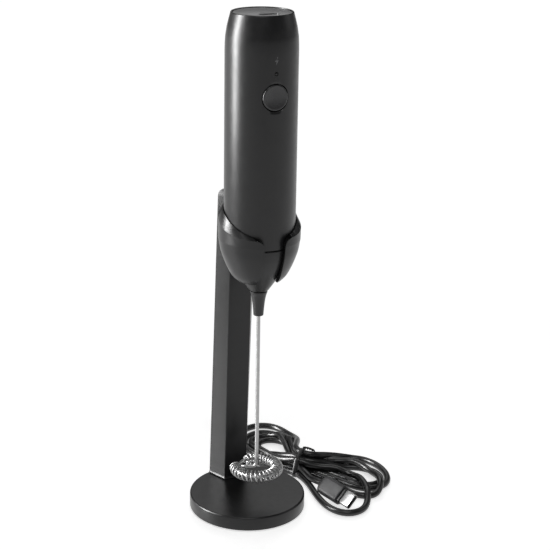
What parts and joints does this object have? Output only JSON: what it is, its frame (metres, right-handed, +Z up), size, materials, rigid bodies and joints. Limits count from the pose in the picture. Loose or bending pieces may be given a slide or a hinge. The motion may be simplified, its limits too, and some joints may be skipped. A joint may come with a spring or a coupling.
{
  "type": "milk frother",
  "caption": "Cordless battery milk frother with a sprung-ring whisk, hanging in the cradle of its weighted round stand, with a tied charging cable beside it.",
  "frame": {"origin": "centre of the round base's underside, on the surface that the stand rests on", "axes": "+Z up along the post and the frother; -Y the front, where the button and the cradle's slot are; +X to the right seen from the front, where the tied cable lies"},
  "size_m": [0.1144, 0.1556, 0.2612],
  "materials": {
    "handle_plastic": "satin black, very fine texture",
    "stand_plastic": "satin black, very fine texture",
    "trim_plastic": "smooth satin black",
    "inner_plastic": "natural moulded plastic, unpainted",
    "rubber": "matte black",
    "stainless_steel": "bright drawn stainless steel",
    "zinc_steel": "zinc plated",
    "brass": "turned, bare",
    "circuit_board": "green solder mask",
    "battery_wrap": "blue shrink-wrapped cell",
    "smoked_lens": "glossy dark smoked light pipe",
    "lamp_resin": "white resin",
    "cable_sheath": "glossy black flexible sheath",
    "plug_overmould": "satin dark grey, fine texture",
    "contact_plastic": "black moulded insulator"
  },
  "bodies": {
    "stand": {"stand_base": "stand_plastic", "ballast_plate": "zinc_steel", "base_cover": "stand_plastic", "nonslip_pad": "rubber", "cover_screw_1": "zinc_steel", "cover_screw_2": "zinc_steel", "cover_screw_3": "zinc_steel", "stand_post": "stand_plastic", "post_screw_1": "zinc_steel", "post_screw_2": "zinc_steel", "cradle": "stand_plastic", "cradle_screw_1": "zinc_steel", "cradle_screw_2": "zinc_steel", "cable_hank": "cable_sheath", "cable_front_loop": "cable_sheath", "cable_plug_lead": "cable_sheath", "cable_tail": "cable_sheath", "cable_tie": "cable_sheath", "usb_c_overmould": "plug_overmould", "usb_c_collar": "contact_plastic", "usb_c_shell": "stainless_steel", "usb_a_overmould": "plug_overmould", "usb_a_shell": "stainless_steel", "usb_a_tongue": "contact_plastic"},
    "frother": {"handle_shell": "handle_plastic", "top_cap": "trim_plastic", "charge_socket_shell": "stainless_steel", "charge_socket_tongue": "contact_plastic", "nose_cone": "handle_plastic", "nozzle": "trim_plastic", "shaft_bush": "brass", "motor_can": "zinc_steel", "motor_end_cap": "inner_plastic", "motor_damper": "rubber", "inner_chassis": "inner_plastic", "battery_cell": "battery_wrap", "circuit_board": "circuit_board", "switch_body": "contact_plastic", "indicator_led": "lamp_resin", "indicator_lens": "smoked_lens"},
    "button": {"power_button": "trim_plastic", "switch_plunger": "contact_plastic"},
    "rotor": {"motor_shaft": "stainless_steel", "shaft_coupler": "brass", "whisk_wire": "stainless_steel", "whisk_coil": "stainless_steel"}
  },
  "joints": [
    {"name": "frother_lift", "type": "slide", "parent": "stand", "child": "frother", "axis": [0, 0, 1], "range_m": [0, 0.06]},
    {"name": "button_press", "type": "slide", "parent": "frother", "child": "button", "axis": [0, 1, 0], "range_m": [0, 0.0008], "stiffness_N_per_m": 2500, "springref_m": -0.0002},
    {"name": "whisk_spin", "type": "hinge", "parent": "frother", "child": "rotor", "pos_m": [0, -0.012, 0.1], "axis": [0, 0, 1], "continuous": true}
  ]
}
